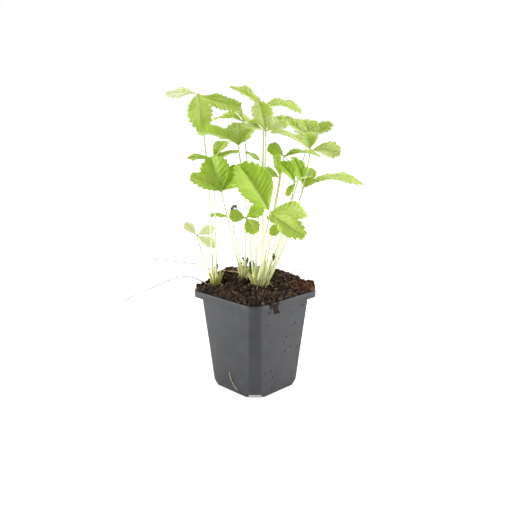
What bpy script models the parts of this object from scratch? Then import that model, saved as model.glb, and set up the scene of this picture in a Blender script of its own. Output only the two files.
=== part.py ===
"""Young strawberry plant in a square nursery pot.

Metres, +Z up. The pot stands on z = 0 with its axis on the Z axis and its
faces square to X and Y. Headings are degrees round +Z measured from +X. The
sizes below are in millimetres.
"""
import math

import bmesh
import bpy
from mathutils import Matrix, Vector

for old in list(bpy.data.objects):
    bpy.data.objects.remove(old, do_unlink=True)

MM = 0.001

# ---- pot: a 9 cm square nursery pot ---------------------------------------
RIM_HALF = 45.0          # half the width over the rim
POT_HEIGHT = 95.5
RIM_DROP = 6.4           # depth of the turned-down rim
RIM_SKIRT = 1.3          # thickness of the turned-down rim
RIM_ROUND = 0.8
BASE_HALF = 32.0         # outside of the wall at the base
WALL_TOP_HALF = 40.6     # outside of the wall at the rim
WALL = 1.1
FLOOR = 1.3
CORNER = 10.0            # radius of the upright corners
NOTCH_WIDE = 12.0        # drainage notch across each bottom corner
NOTCH_HIGH = 4.4
NOTCH_DEEP = 9.0

# ---- soil -------------------------------------------------------------------
GAP = 0.3                # clearance between neighbouring pieces
SOIL_EDGE = 95.0         # height of the soil at the wall
HEAP_RISE = 13.0         # the heap behind the middle of the pot
HEAP_AT = (-14.0, 14.0)
HEAP_SPREAD = 24.0
LUMP = 0.7               # height of the crumbly lumps
SOIL_CELLS = 14          # cells along each side of the soil's top

# ---- crowns: name -> (x, y, radius) ------------------------------------------
CROWNS = {
    "main": (9.0, -2.0, 8.0),
    "mid": (-12.0, -3.0, 5.0),
    "left": (-30.0, -24.0, 5.0),
}
CROWN_HIGH = 2.4
CROWN_BLEND = 5.0        # the soil rises or falls from the crown over this distance

# ---- leaves -------------------------------------------------------------------
BLADE_THICK = 0.6
STALK_START = 2.3        # free distance between the petiole's end and a leaflet
STALK_LONG = 3.0         # little stalk between the hub and the blade
STALK_HALF = 0.6
TEETH = 4                # coarse teeth on each side of a leaflet
YOUNG_TEETH = 3
TOOTH = 0.035            # tooth height over leaflet length
PETIOLE_FOOT = 1.1       # radius at the crown
PETIOLE_HEAD = 0.75      # radius under the blade
PETIOLE_STEPS = 8

# Each leaf: crown, foot heading and reach on that crown, lean (how early the
# petiole travels outwards), hub heading, reach and height round the pot's
# axis, then one row for each leaflet: heading, pitch, bend, roll, length,
# width, fold. Angles in degrees, lengths in millimetres.
LEAVES = {
    "leaf_01": ("left", 215, 3, 0.10, (215, 54, 279), (
        (215, 10, 25, -30, 27, 17, 5),
        (325, -30, 45, 5, 39, 21, 12),
        (50, -25, -25, 45, 38, 17, 10))),
    "leaf_02": ("main", 160, 6, 0.45, (160, 27, 254), (
        (215, 30, 60, -25, 27, 18, 15),
        (200, 65, 75, -15, 35, 16, 15),
        (110, 5, 20, 30, 20, 18, 15))),
    "leaf_03": ("main", 110, 3, 0.50, (105, 16, 269), (
        (215, 35, 15, -30, 32, 17, 15),
        (50, 10, 45, 20, 33, 20, 15),
        (135, -5, 10, -10, 28, 20, 15))),
    "leaf_04": ("main", 350, 3, 0.50, (350, 17, 246), (
        (160, 65, 20, -15, 26, 19, 15),
        (70, 30, 20, 45, 20, 16, 15),
        (230, 20, 30, -15, 18, 14, 20))),
    "leaf_05": ("main", 230, 6, 0.40, (250, 17, 233), (
        (230, 40, 50, -25, 35, 20, 20),
        (130, 55, 20, 15, 23, 22, 15),
        (65, 50, 15, 30, 30, 16, 20))),
    "leaf_06": ("mid", 250, 3, 0.50, (260, 37, 192), (
        (240, 35, 20, -40, 27, 17, 15),
        (175, 65, 15, -35, 32, 26, 15),
        (60, 50, 20, 35, 28, 28, 15))),
    "leaf_07": ("main", 290, 6, 0.50, (335, 38, 176), (
        (215, 60, 15, -50, 46, 34, 20),
        (60, 5, 35, 40, 34, 18, 20),
        (0, -20, 30, 55, 36, 18, 20))),
    "leaf_08": ("main", 60, 6, 0.60, (55, 47, 194), (
        (170, 65, 20, -10, 28, 14, 20),
        (50, 25, 50, 10, 56, 22, 15),
        (110, 50, 20, 10, 20, 16, 15))),
    "leaf_09": ("main", 100, 6, 0.60, (75, 60, 240), (
        (210, 35, 20, -30, 36, 16, 20),
        (145, 40, 20, -10, 26, 24, 15),
        (60, 15, -25, 20, 22, 18, 20))),
    "leaf_10": ("main", 0, 7, 0.70, (40, 51, 229), (
        (220, 40, 35, -15, 36, 18, 20),
        (145, 45, 20, -10, 22, 20, 15),
        (35, 0, 5, 15, 23, 16, 20))),
}
YOUNG = {
    "young_01": ("left", 330, 3, 0.60, (230, 38, 220), (
        (225, 10, 15, -15, 20, 12, 15),
        (60, 25, 15, 20, 20, 14, 15),
        (100, 55, 45, 15, 24, 14, 20))),
    "young_02": ("mid", 330, 3, 0.40, (300, 31, 170), (
        (245, 15, 15, -60, 11, 12, 10),
        (45, 35, 20, 70, 13, 13, 10),
        (345, -30, 25, 30, 14, 14, 10))),
    "young_03": ("mid", 170, 3, 0.50, (195, 26, 163), (
        (240, 15, 20, -10, 18, 10, 20),)),
    "young_04": ("left", 170, 3, 0.60, (195, 68, 142), (
        (205, 45, 20, -50, 14, 10, 10),
        (65, 25, 20, 50, 16, 13, 10),
        (20, -20, 20, 50, 18, 13, 10))),
    "young_05": ("main", 325, 6, 0.60, (0, 32, 165), (
        (255, 25, 20, -60, 9, 8, 10),
        (15, -30, 20, 40, 14, 13, 10),
        (285, -30, 20, -20, 12, 10, 10))),
    "young_06": ("main", 30, 6.5, 0.60, (30, 38, 200), (
        (215, 60, 30, -40, 19, 17, 20),
        (20, 30, 20, 0, 12, 10, 15),
        (280, -35, 20, 20, 12, 10, 15))),
    "young_07": ("main", 50, 3, 0.50, (50, 27, 223), (
        (250, 35, 30, -60, 13, 14, 15),
        (40, -50, 20, 0, 20, 10, 20),
        (60, 20, 50, 20, 34, 14, 20))),
    "young_08": ("main", 130, 6, 0.50, (75, 27, 202), (
        (165, 75, 10, 10, 20, 10, 15),
        (240, 30, 20, -50, 14, 10, 15))),
    "young_09": ("main", 200, 6, 0.50, (100, 12, 216), (
        (225, 40, 20, -15, 14, 10, 15),)),
}

# ---- runners and straw: points (x, y, z), radius ------------------------------
RUNNERS = {
    "runner_left_high": (0.5, ((-33, -13, 102), (-45, -12, 106), (-60, -16, 112),
                               (-78, -35, 116), (-96, -54, 119))),
    "runner_left_low": (0.6, ((-37, -30, 99), (-44, -32, 102), (-54, -38, 105),
                              (-66, -46, 103), (-80, -58, 95), (-103, -81, 80))),
    "runner_right": (0.5, ((-2, 31, 105.5), (1, 40, 104), (6, 48, 106), (12, 55, 109))),
    "straw": (0.8, ((-39, -9, 107.5), (-26, -5, 108.5), (-20, -3, 108.8))),
}


# ---- colours ------------------------------------------------------------------
POT_GREY = (0.14, 0.145, 0.155)
SOIL_BROWN = (0.055, 0.032, 0.020)
CROWN_OLIVE = (0.45, 0.50, 0.20)
LEAF_GREEN = (0.32, 0.52, 0.06)
STEM_GREEN = (0.62, 0.70, 0.30)
RUNNER_BROWN = (0.42, 0.30, 0.22)
STRAW_TAN = (0.40, 0.28, 0.16)

plant = bpy.data.collections.new("strawberry_in_pot")
cutters = bpy.data.collections.new("cutters")
for collection in (plant, cutters):
    bpy.context.scene.collection.children.link(collection)


# ---- helpers ------------------------------------------------------------------
def material(name, colour, roughness):
    mat = bpy.data.materials.new(name)
    mat.use_nodes = True
    shader = mat.node_tree.nodes["Principled BSDF"]
    shader.inputs["Base Color"].default_value = (*colour, 1.0)
    shader.inputs["Roughness"].default_value = roughness
    return mat


def part(name, bm, colour, roughness=0.6):
    """One named object in the plant's collection from a bmesh in millimetres."""
    mesh = bpy.data.meshes.new(name)
    bmesh.ops.scale(bm, vec=(MM, MM, MM), verts=bm.verts)
    bmesh.ops.recalc_face_normals(bm, faces=bm.faces)
    bm.to_mesh(mesh)
    bm.free()
    obj = bpy.data.objects.new(name, mesh)
    plant.objects.link(obj)
    mesh.materials.append(material(name, colour, roughness))
    return obj


def cutter(name, bm):
    mesh = bpy.data.meshes.new(name)
    bmesh.ops.scale(bm, vec=(MM, MM, MM), verts=bm.verts)
    bmesh.ops.recalc_face_normals(bm, faces=bm.faces)
    bm.to_mesh(mesh)
    bm.free()
    obj = bpy.data.objects.new(name, mesh)
    cutters.objects.link(obj)
    obj.hide_render = True
    obj.display_type = "WIRE"
    return obj


def combine(obj, other, operation):
    """Apply one exact Boolean and drop the other object."""
    mod = obj.modifiers.new(operation.title(), "BOOLEAN")
    mod.operation = operation
    mod.solver = "EXACT"
    mod.object = other
    graph = bpy.context.evaluated_depsgraph_get()
    result = bpy.data.meshes.new_from_object(obj.evaluated_get(graph))
    obj.modifiers.remove(mod)
    obj.data = result
    bpy.data.objects.remove(other, do_unlink=True)


def square_block(low, high, z_low, z_high, corner, edge=0.0):
    """A block with rounded upright corners, half widths low and high."""
    bm = bmesh.new()
    bmesh.ops.create_cube(bm, size=2.0)
    for v in bm.verts:
        half = high if v.co.z > 0 else low
        v.co = Vector((v.co.x * half, v.co.y * half, z_high if v.co.z > 0 else z_low))
    upright = [e for e in bm.edges if abs(e.verts[0].co.z - e.verts[1].co.z) > 0.1]
    bmesh.ops.bevel(bm, geom=upright, offset=corner, segments=5, profile=0.5,
                    affect="EDGES")
    if edge:
        top = [e for e in bm.edges if min(v.co.z for v in e.verts) > z_high - 0.01]
        bmesh.ops.bevel(bm, geom=top, offset=edge, segments=2, profile=0.5,
                        affect="EDGES")
    return bm


def wall_half(z, inset):
    """Half width of the tapering wall at height z, inset from its outside."""
    return BASE_HALF + (WALL_TOP_HALF - BASE_HALF) * z / POT_HEIGHT - inset


def corner_block(quarter, grow, top):
    """A block standing across one bottom corner of the pot."""
    corner_out = BASE_HALF * math.sqrt(2) - CORNER * (math.sqrt(2) - 1)
    near, far = corner_out - NOTCH_DEEP - grow, corner_out + 20.0
    bm = bmesh.new()
    bmesh.ops.create_cube(bm, size=1.0)
    bmesh.ops.scale(bm, vec=(far - near, NOTCH_WIDE + 2 * grow, top + 5.0), verts=bm.verts)
    bmesh.ops.translate(bm, vec=((near + far) / 2, 0.0, (top - 5.0) / 2), verts=bm.verts)
    bmesh.ops.rotate(bm, matrix=Matrix.Rotation(math.radians(45 + 90 * quarter), 3, "Z"),
                     verts=bm.verts)
    return bm


def polar(heading, reach, height=0.0):
    a = math.radians(heading)
    return Vector((reach * math.cos(a), reach * math.sin(a), height))


def heap_height(x, y):
    dx, dy = x - HEAP_AT[0], y - HEAP_AT[1]
    return SOIL_EDGE + HEAP_RISE * math.exp(-(dx * dx + dy * dy) / (2 * HEAP_SPREAD ** 2))


def soil_height(x, y):
    """The lumpy heap, pressed level under each crown."""
    height = heap_height(x, y) + LUMP * math.sin(x * 0.55 + 1.0) * math.cos(y * 0.47 + x * 0.11)
    pressed, levels = 0.0, 0.0
    for cx, cy, radius in CROWNS.values():
        away = math.hypot(x - cx, y - cy) - radius
        weight = 1.0 - min(max((away - 2.0) / CROWN_BLEND, 0.0), 1.0)
        pressed += weight
        levels += weight * heap_height(cx, cy)
    free = 1.0 - min(pressed, 1.0)
    return height * free + levels / max(pressed, 1e-6) * (1.0 - free)


def stem(name, points, radii, colour, roughness=0.6):
    """A round stem: a bevelled poly curve with closed ends."""
    curve = bpy.data.curves.new(name, "CURVE")
    curve.dimensions = "3D"
    curve.bevel_depth = MM
    curve.bevel_resolution = 1
    curve.use_fill_caps = True
    spline = curve.splines.new("POLY")
    spline.points.add(len(points) - 1)
    for target, point, radius in zip(spline.points, points, radii):
        target.co = (*(Vector(point) * MM), 1.0)
        target.radius = radius
    guide = bpy.data.objects.new(name + "_curve", curve)
    cutters.objects.link(guide)
    graph = bpy.context.evaluated_depsgraph_get()
    mesh = bpy.data.meshes.new_from_object(guide.evaluated_get(graph))
    bm = bmesh.new()
    bm.from_mesh(mesh)
    bmesh.ops.remove_doubles(bm, verts=bm.verts, dist=1e-6)
    bmesh.ops.scale(bm, vec=(1 / MM, 1 / MM, 1 / MM), verts=bm.verts)
    bpy.data.objects.remove(guide, do_unlink=True)
    return part(name, bm, colour, roughness)


def petiole(name, spec, colour):
    """The leaf's stem: leans out from its crown up to the hub."""
    crown, heading, reach, lean, hub, _ = spec
    cx, cy, _ = CROWNS[crown]
    foot = Vector((cx, cy, crown_top[crown] + 3 * GAP)) + polar(heading, reach)
    head = polar(*hub)
    bow = foot.lerp(head, lean)
    bow.z = foot.z + (0.75 - 0.5 * lean) * (head.z - foot.z)
    points, radii = [], []
    for i in range(PETIOLE_STEPS + 1):
        t = i / PETIOLE_STEPS
        points.append(foot * (1 - t) ** 2 + bow * 2 * t * (1 - t) + head * t * t)
        radii.append(PETIOLE_FOOT + (PETIOLE_HEAD - PETIOLE_FOOT) * t)
    radii[-1] = 1.1
    return stem(name, points, radii, colour)


def smooth_path(points, steps):
    """A smooth path through the given points."""
    pts = [Vector(p) for p in points]
    path = []
    for i in range(len(pts) - 1):
        before, after = pts[max(i - 1, 0)], pts[min(i + 2, len(pts) - 1)]
        a, b = pts[i], pts[i + 1]
        for k in range(steps):
            t = k / steps
            path.append(0.5 * (2 * a + (b - before) * t
                               + (2 * before - 5 * a + 4 * b - after) * t * t
                               + (3 * a - before - 3 * b + after) * t ** 3))
    return path + [pts[-1]]


def half_width(x):
    """Outline of a leaflet: half width over full width at x along its length."""
    return 0.5 * math.sin(math.pi * x ** 1.3) ** 0.8 if 0 < x < 1 else 0.0


def leaflet(name, hub, spec, teeth=TEETH, start=STALK_START):
    """One toothed, folded, arching blade with its little stalk.

    The rows of a flat grid follow the side veins: each leaves the midrib and
    meets the edge further along, at a tooth or between two.
    """
    heading, pitch, bend, roll, length, width, fold = spec
    rows = [(0.0, 0.0, STALK_HALF), (0.6 * STALK_LONG, 0.0, STALK_HALF)]
    for i in range(2 * teeth + 1):
        f = i / (2 * teeth)
        edge = 0.04 + 0.94 * f ** 0.9
        lag = 0.8 * f * (1 - f) * length
        tooth = TOOTH * length * (1.0 if i % 2 else -0.2) if 0 < i < 2 * teeth else 0.0
        rows.append((STALK_LONG + length * edge - lag, lag + max(tooth, 0) * 0.6,
                     max(width * half_width(edge) + tooth, STALK_HALF)))
    curl = math.radians(bend) / (length + STALK_LONG)
    tilt = math.tan(math.radians(fold))
    turn = (Matrix.Rotation(math.radians(heading), 3, "Z")
            @ Matrix.Rotation(math.radians(-pitch), 3, "Y")
            @ Matrix.Rotation(math.radians(roll), 3, "X"))
    bm = bmesh.new()
    bmesh.ops.create_grid(bm, x_segments=len(rows) - 1, y_segments=4, size=1.0)
    for v in bm.verts:
        x, lag, wide = rows[round((v.co.x + 1) / 2 * (len(rows) - 1))]
        side = v.co.y
        x += lag * abs(side)
        rise = wide * abs(side) * tilt
        angle = curl * x
        v.co = hub + turn @ Vector((start + math.sin(angle) / curl + rise * math.sin(angle),
                                    wide * side,
                                    rise * math.cos(angle) - (1 - math.cos(angle)) / curl))
    blade = part(name, bm, LEAF_GREEN)
    shell = blade.modifiers.new("Thickness", "SOLIDIFY")
    shell.thickness = BLADE_THICK * MM
    shell.offset = 0.0
    return blade


# ---- the pot --------------------------------------------------------------------
pot = part("pot", square_block(RIM_HALF, RIM_HALF, POT_HEIGHT - RIM_DROP, POT_HEIGHT,
                               CORNER + 1.5, RIM_ROUND), POT_GREY, 0.55)
under = RIM_HALF - RIM_SKIRT
combine(pot, cutter("under_rim", square_block(under, under, POT_HEIGHT - RIM_DROP - 5.0,
                                              POT_HEIGHT - WALL, CORNER + 0.5)),
        "DIFFERENCE")
combine(pot, cutter("wall", square_block(BASE_HALF, wall_half(POT_HEIGHT - WALL / 2, 0), 0.0,
                                         POT_HEIGHT - WALL / 2, CORNER)), "UNION")
hollow = cutter("hollow", square_block(wall_half(FLOOR, WALL), wall_half(POT_HEIGHT + 3, WALL),
                                       FLOOR, POT_HEIGHT + 3, CORNER - WALL))
for quarter in range(4):
    combine(hollow, cutter("step", corner_block(quarter, FLOOR, NOTCH_HIGH + FLOOR)),
            "DIFFERENCE")
    combine(pot, cutter("notch", corner_block(quarter, 0.0, NOTCH_HIGH)), "DIFFERENCE")
combine(pot, hollow, "DIFFERENCE")

# ---- the soil -------------------------------------------------------------------
inset = WALL + GAP
soil = part("soil", square_block(wall_half(FLOOR + GAP, inset), wall_half(POT_HEIGHT + 30, inset),
                                 FLOOR + GAP, POT_HEIGHT + 30, CORNER - inset),
            SOIL_BROWN, 0.95)
bm = bmesh.new()
bmesh.ops.create_grid(bm, x_segments=SOIL_CELLS, y_segments=SOIL_CELLS, size=42.0)
for v in bm.verts:
    v.co.z = soil_height(v.co.x, v.co.y)
raised = bmesh.ops.extrude_face_region(bm, geom=list(bm.faces))["geom"]
for v in raised:
    if isinstance(v, bmesh.types.BMVert):
        v.co.z = POT_HEIGHT + 60
combine(soil, cutter("above_soil", bm), "DIFFERENCE")
for quarter in range(4):
    combine(soil, cutter("step", corner_block(quarter, FLOOR + GAP, NOTCH_HIGH + FLOOR + GAP)),
            "DIFFERENCE")

# ---- crowns -----------------------------------------------------------------------
crown_top = {}
for key, (cx, cy, radius) in CROWNS.items():
    around = [polar(heading, radius * share) for heading in range(0, 360, 30)
              for share in (0.5, 1.0)]
    foot = 4 * GAP + max(soil_height(cx + p.x, cy + p.y) for p in around)
    bm = bmesh.new()
    bmesh.ops.create_cone(bm, cap_ends=True, segments=12, radius1=radius,
                          radius2=radius * 0.8, depth=CROWN_HIGH)
    bmesh.ops.translate(bm, vec=(cx, cy, foot + CROWN_HIGH / 2), verts=bm.verts)
    part("crown_" + key, bm, CROWN_OLIVE, 0.7)
    crown_top[key] = foot + CROWN_HIGH

# ---- grown leaves: a petiole and three leaflets -------------------------------------
for name, spec in LEAVES.items():
    petiole(name + "_petiole", spec, STEM_GREEN)
    for letter, blade in zip("abc", spec[5]):
        leaflet(name + "_leaflet_" + letter, polar(*spec[4]), blade)

# ---- young leaves: petiole and blade grown together ---------------------------------
for name, spec in YOUNG.items():
    leaf = petiole(name, spec, LEAF_GREEN)
    for blade in spec[5]:
        combine(leaf, leaflet("blade", polar(*spec[4]), blade, YOUNG_TEETH, 0.2), "UNION")

# ---- runners and straw --------------------------------------------------------------
for name, (radius, points) in RUNNERS.items():
    path = smooth_path(points, 3)
    stem(name, path, [radius] * len(path), STRAW_TAN if name == "straw" else RUNNER_BROWN)

bpy.data.collections.remove(cutters)
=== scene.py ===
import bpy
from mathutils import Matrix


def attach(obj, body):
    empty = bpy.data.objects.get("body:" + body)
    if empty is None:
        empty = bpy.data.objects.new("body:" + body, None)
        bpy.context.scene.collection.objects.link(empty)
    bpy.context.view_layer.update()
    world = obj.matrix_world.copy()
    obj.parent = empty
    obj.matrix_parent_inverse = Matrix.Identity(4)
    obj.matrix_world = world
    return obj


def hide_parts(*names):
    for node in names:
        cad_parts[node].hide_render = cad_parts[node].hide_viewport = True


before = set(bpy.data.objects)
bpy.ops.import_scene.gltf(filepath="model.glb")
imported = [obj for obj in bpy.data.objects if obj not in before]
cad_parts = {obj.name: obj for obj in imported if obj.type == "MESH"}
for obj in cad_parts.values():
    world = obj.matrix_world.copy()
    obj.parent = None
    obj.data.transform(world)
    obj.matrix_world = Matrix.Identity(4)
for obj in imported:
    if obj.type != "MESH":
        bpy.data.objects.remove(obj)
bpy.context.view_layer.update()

# A young strawberry plant in a square nursery pot. Every piece is built in the
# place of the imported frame's own piece, in metres, with sizes given in millimetres.
import math
import random

import bmesh
import bpy
from mathutils import Matrix, Vector, noise

MM = 0.001

# ---- studio -------------------------------------------------------------------
# A bright white product studio: a large pale floor, an even white surround and
# soft lamps, with the camera a little above the leaves and square to a corner.
AIM = Vector((0.0006, 0.0006, 0.1285))
CAMERA_HEADING = -45.0
CAMERA_RISE = 12.5
CAMERA_DISTANCE = 0.600
LENS = 44.0
LAMPS_AIM = Vector((0, 0, 0.15))
# Heading, distance, height, size and power of each lamp.
LAMPS = {
    "top_lamp": (60, 0.5, 1.3, 0.9, 8.0),
    "back_lamp": (135, 1.2, 0.8, 0.9, 4.5),
    "left_lamp": (-127, 1.2, 0.5, 0.8, 18.5),
    "right_lamp": (37, 1.2, 0.5, 0.8, 14.0),
}
SURROUND = 0.66
FRONT_DIMMED = 0.02
DIM_FROM = 0.32
DIM_TO = 0.82
FLOOR_HALF = 6.0
FLOOR_DROP = 0.0002
FLOOR_GLOW_NEAR = 0.42
FLOOR_GLOW_FAR = 0.75
FLOOR_BOUNCE = 0.35

scene = bpy.context.scene
scene.view_settings.view_transform = "Standard"
scene.view_settings.look = "None"

camera_data = bpy.data.cameras.new("camera")
camera_data.lens = LENS
camera_data.sensor_width = 36.0
camera_data.clip_start = 0.01
camera = bpy.data.objects.new("camera", camera_data)
heading, rise = math.radians(CAMERA_HEADING), math.radians(CAMERA_RISE)
outward = Vector((math.cos(heading) * math.cos(rise), math.sin(heading) * math.cos(rise), math.sin(rise)))
camera.location = AIM + outward * CAMERA_DISTANCE
camera.rotation_euler = (-outward).to_track_quat("-Z", "Y").to_euler()
scene.collection.objects.link(camera)
scene.camera = camera


def soft_lamp(name, heading, reach, height, size, power):
    """A square area lamp that looks at the plant."""
    light = bpy.data.lights.new(name, "AREA")
    light.size = size
    light.energy = power
    lamp = bpy.data.objects.new(name, light)
    angle = math.radians(heading)
    lamp.location = (reach * math.cos(angle), reach * math.sin(angle), height)
    lamp.rotation_euler = (LAMPS_AIM - lamp.location).to_track_quat("-Z", "Y").to_euler()
    scene.collection.objects.link(lamp)


for name, sizes in LAMPS.items():
    soft_lamp(name, *sizes)


class Term:
    """One output of a node. Sums and products of terms add the nodes that work them out."""

    def __init__(self, nodes, socket):
        self.nodes = nodes
        self.socket = socket

    def __add__(self, other):
        return self.nodes.calc("ADD", self, other)

    def __sub__(self, other):
        return self.nodes.calc("SUBTRACT", self, other)

    def __rsub__(self, other):
        return self.nodes.calc("SUBTRACT", other, self)

    def __mul__(self, other):
        return self.nodes.calc("MULTIPLY", self, other)

    def __truediv__(self, other):
        return self.nodes.calc("DIVIDE", self, other)

    def __pow__(self, power):
        return self.nodes.calc("POWER", self, power)

    def __abs__(self):
        return self.nodes.calc("ABSOLUTE", self)


class Nodes:
    """A node tree with short ways to add nodes to it."""

    def __init__(self, tree):
        self.tree = tree

    def feed(self, socket, value):
        """Link a term to a socket, or set the socket to a plain value or a colour."""
        if isinstance(value, Term):
            self.tree.links.new(value.socket, socket)
        elif socket.type == "RGBA":
            socket.default_value = (*value, 1.0)
        else:
            socket.default_value = value

    def add(self, kind, links=None, **settings):
        """Add a node: settings are its properties, links its inputs by name or number."""
        node = self.tree.nodes.new(kind)
        for key, value in settings.items():
            setattr(node, key, value)
        for key, value in (links or {}).items():
            self.feed(node.inputs[key], value)
        return node

    def get(self, kind, links=None, out=0, **settings):
        """Add a node and take one of its outputs."""
        return Term(self, self.add(kind, links, **settings).outputs[out])

    def calc(self, operation, *values):
        """One step of arithmetic."""
        return self.get("ShaderNodeMath", dict(enumerate(values)), operation=operation)

    def remap(self, value, low, high, to_low=0.0, to_high=1.0, soft=False):
        """Stretch the range low to high to a new one, and hold the value inside it."""
        links = {"Value": value, "From Min": low, "From Max": high, "To Min": to_low, "To Max": to_high}
        return self.get("ShaderNodeMapRange", links, interpolation_type="SMOOTHSTEP" if soft else "LINEAR")

    def place(self):
        """Where a point lies on the object."""
        return self.get("ShaderNodeTexCoord", out="Object")


def new_material(name, roughness, specular):
    """A material, its nodes and its Principled shader."""
    mat = bpy.data.materials.new(name)
    mat.use_nodes = True
    shader = mat.node_tree.nodes["Principled BSDF"].inputs
    shader["Roughness"].default_value = roughness
    shader["Specular IOR Level"].default_value = specular
    return mat, Nodes(mat.node_tree), shader


world = bpy.data.worlds.new("white_studio")
world.use_nodes = True
nodes = Nodes(world.node_tree)
around = nodes.get("ShaderNodeTexCoord", out="Generated")
facing = nodes.get("ShaderNodeVectorMath", {0: around, 1: outward}, "Value", operation="DOT_PRODUCT")
level = nodes.remap(facing, DIM_FROM, DIM_TO, SURROUND, FRONT_DIMMED, soft=True)
seen = nodes.get("ShaderNodeLightPath", out="Is Camera Ray")
backdrop = world.node_tree.nodes["Background"].inputs
nodes.feed(backdrop["Color"], (1.0, 1.0, 1.0))
nodes.feed(backdrop["Strength"], nodes.calc("MAXIMUM", level, seen))
scene.world = world

floor_mat, nodes, shader = new_material("studio_floor", 0.8, 0.1)
nodes.feed(shader["Base Color"], (0.9, 0.9, 0.9))
nodes.feed(shader["Emission Color"], (1.0, 1.0, 1.0))
reach = nodes.get("ShaderNodeVectorMath", {0: nodes.place()}, "Value", operation="LENGTH")
glow = nodes.remap(reach, 0.5, 1.3, FLOOR_GLOW_NEAR, FLOOR_GLOW_FAR)
seen = nodes.get("ShaderNodeLightPath", out="Is Camera Ray")
nodes.feed(shader["Emission Strength"], glow * nodes.calc("MAXIMUM", seen, FLOOR_BOUNCE))
bm = bmesh.new()
bmesh.ops.create_grid(bm, x_segments=1, y_segments=1, size=FLOOR_HALF)
mesh = bpy.data.meshes.new("studio_floor")
bm.to_mesh(mesh)
bm.free()
mesh.materials.append(floor_mat)
floor = bpy.data.objects.new("studio_floor", mesh)
floor.location.z = -FLOOR_DROP
scene.collection.objects.link(floor)

# ---- pot ----------------------------------------------------------------------
# A 9 cm square nursery pot in thin dark grey plastic, moulded in one: a turned
# down rim, rounded corners, and a drainage notch across each bottom corner.
RIM_HALF = 45.0
POT_HEIGHT = 95.5
RIM_DROP = 6.4
RIM_SKIRT = 1.3
RIM_ROUND = 0.9
BASE_HALF = 32.0
WALL_TOP_HALF = 40.6
WALL = 1.1
FLOOR = 1.3
CORNER = 10.0
NOTCH_WIDE = 12.0
NOTCH_HIGH = 4.4
NOTCH_DEEP = 9.0
CHAMFER = 7.6
CHAMFER_ROUND = 1.6
SLOPE_FOOT = 36.3
SLOPE_LEAN = 0.82
NOTCH_ROUND = 1.6
CUTTER_BELOW = 5.0
CUTTER_BEYOND = 20.0
HOLLOW_OPEN = 3.0
EDGE_ROUND = 0.25
SHARP_FROM = 50
POT_GREY = (0.036, 0.037, 0.041)
POT_PALE = (0.053, 0.055, 0.059)
SCUFF_GREY = (0.17, 0.172, 0.178)
DUST_BROWN = (0.10, 0.065, 0.04)
BLACK = (0, 0, 0)
HALF_GREY = (0.5, 0.5, 0.5)
WHITE = (1, 1, 1)


def to_object(name, bm, mat, smooth=True):
    """A bmesh in millimetres as an object at the origin."""
    bmesh.ops.scale(bm, vec=(MM, MM, MM), verts=bm.verts)
    bmesh.ops.recalc_face_normals(bm, faces=bm.faces)
    mesh = bpy.data.meshes.new(name)
    bm.to_mesh(mesh)
    bm.free()
    if mat:
        mesh.materials.append(mat)
    for face in mesh.polygons:
        face.use_smooth = smooth
    obj = bpy.data.objects.new(name, mesh)
    scene.collection.objects.link(obj)
    return obj


def settle(obj):
    """Turn the object's modifiers into plain mesh."""
    graph = bpy.context.evaluated_depsgraph_get()
    mesh = bpy.data.meshes.new_from_object(obj.evaluated_get(graph))
    obj.modifiers.clear()
    obj.data = mesh
    return obj


def cut(obj, other, operation="DIFFERENCE"):
    """Take the other object away from this one, or join it on with UNION."""
    mod = obj.modifiers.new("Cut", "BOOLEAN")
    mod.operation = operation
    mod.solver = "EXACT"
    mod.object = other
    settle(obj)
    bpy.data.objects.remove(other, do_unlink=True)


def rises(edge):
    """How far an edge climbs from one end to the other."""
    return abs(edge.verts[0].co.z - edge.verts[1].co.z)


def round_off(bm, edges, width, segments=4):
    """Bevel some edges: one segment cuts them flat, more make them round."""
    bmesh.ops.bevel(bm, geom=edges, offset=width, segments=segments, profile=0.5, affect="EDGES")


def square_block(low, high, z_low, z_high, corner, edge=0.0, flat=False):
    """A block with rounded or, if flat, chamfered upright corners; edge rounds its rims."""
    bm = bmesh.new()
    bmesh.ops.create_cube(bm, size=2.0)
    for v in bm.verts:
        half = high if v.co.z > 0 else low
        v.co = Vector((v.co.x * half, v.co.y * half, z_high if v.co.z > 0 else z_low))
    round_off(bm, [e for e in bm.edges if rises(e) > 0.1], corner, 1 if flat else 12)
    if flat:
        round_off(bm, [e for e in bm.edges if rises(e) > 0.1], CHAMFER_ROUND)
    if edge:
        level = [e for e in bm.edges if rises(e) < 0.01 and min(v.co.z for v in e.verts) > z_low + 0.01]
        round_off(bm, level, edge)
    return bm


def wall_half(z, inset):
    """Half the pot's width at a height, less an inset."""
    return BASE_HALF + (WALL_TOP_HALF - BASE_HALF) * z / POT_HEIGHT - inset


def turn_to_corner(bm, quarter):
    """Turn a shape made along X to one of the pot's four corners."""
    turn = Matrix.Rotation(math.radians(45 + 90 * quarter), 3, "Z")
    bmesh.ops.rotate(bm, matrix=turn, verts=bm.verts)
    return bm


def corner_block(quarter, grow, top):
    """The block that cuts a drainage notch, larger by grow for the step inside the pot."""
    corner_out = BASE_HALF * math.sqrt(2) - CORNER * (math.sqrt(2) - 1)
    near, far = corner_out - NOTCH_DEEP - grow, corner_out + CUTTER_BEYOND
    bm = bmesh.new()
    bmesh.ops.create_cube(bm, size=1.0)
    bmesh.ops.scale(bm, vec=(far - near, NOTCH_WIDE + 2 * grow, top + CUTTER_BELOW), verts=bm.verts)
    bmesh.ops.translate(bm, vec=((near + far) / 2, 0.0, (top - CUTTER_BELOW) / 2), verts=bm.verts)
    along = [e for e in bm.edges if abs(e.verts[0].co.x - e.verts[1].co.x) > 1.0
             and min(v.co.z for v in e.verts) > 0]
    round_off(bm, along, NOTCH_ROUND, 3)
    return turn_to_corner(bm, quarter)


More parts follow.
